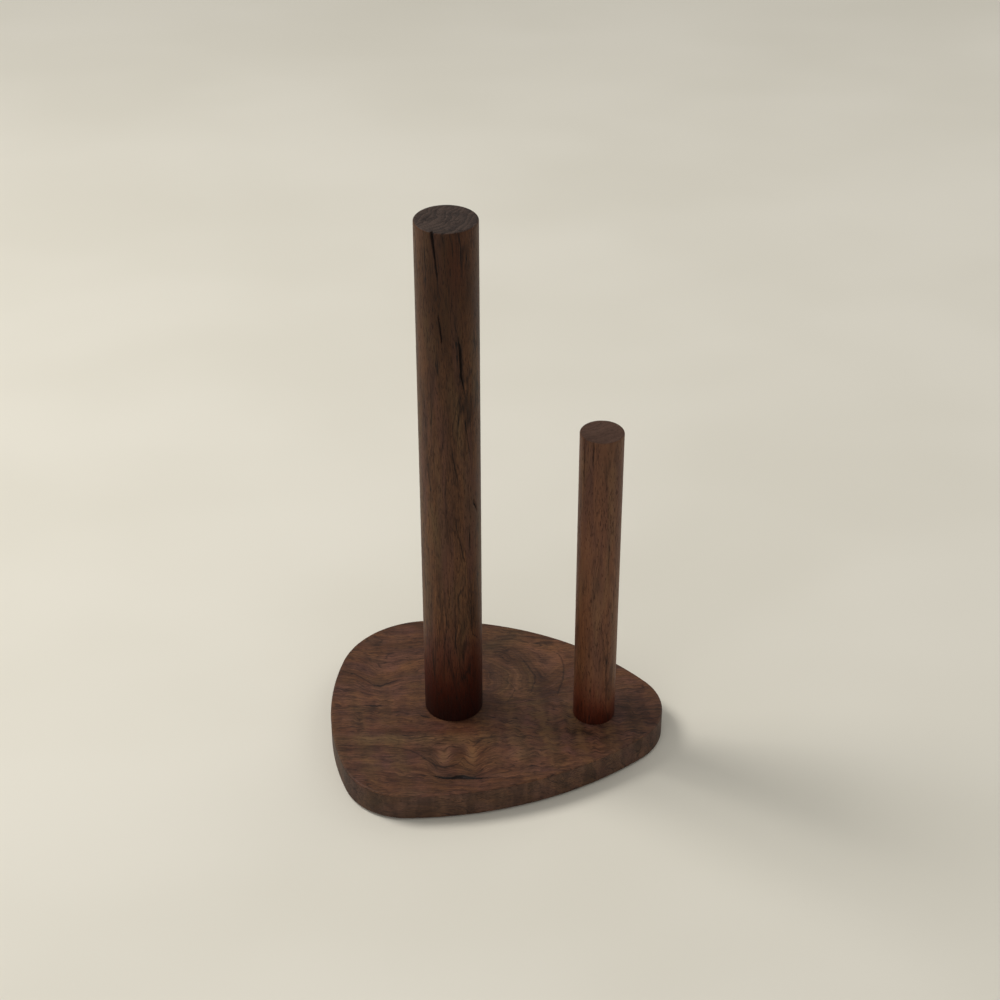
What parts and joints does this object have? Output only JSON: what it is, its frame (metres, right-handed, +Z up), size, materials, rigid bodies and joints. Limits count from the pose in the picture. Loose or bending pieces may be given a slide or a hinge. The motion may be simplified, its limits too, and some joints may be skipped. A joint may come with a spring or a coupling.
{
  "type": "paper towel holder",
  "caption": "Standing paper towel holder: a rounded three-cornered walnut base with a tall post for the roll and a shorter post beside it.",
  "frame": {"origin": "on the worktop, under the middle of the outline's box", "axes": "+Z up along the posts; +X from the tall post towards the short post; -Y towards the side the holder is seen from"},
  "size_m": [0.1854, 0.1544, 0.317],
  "materials": {
    "walnut_base": "oiled walnut, satin, flat-sawn grain along X",
    "walnut_roll_post": "oiled walnut, satin, grain along the post",
    "walnut_guide_post": "oiled walnut, satin, grain along the post",
    "insert_brass": "machined, satin",
    "screw_steel": "zinc plated, satin",
    "dowel_beech": "raw beech, fluted",
    "foot_rubber": "matt black rubber"
  },
  "bodies": {
    "root": {"base": "walnut_base", "roll_post": "walnut_roll_post", "guide_post": "walnut_guide_post", "roll_post_insert": "insert_brass", "guide_post_insert": "insert_brass", "roll_post_screw": "screw_steel", "guide_post_screw": "screw_steel", "roll_post_dowel": "dowel_beech", "guide_post_dowel": "dowel_beech", "foot_narrow": "foot_rubber", "foot_back": "foot_rubber", "foot_front": "foot_rubber"}
  },
  "joints": []
}
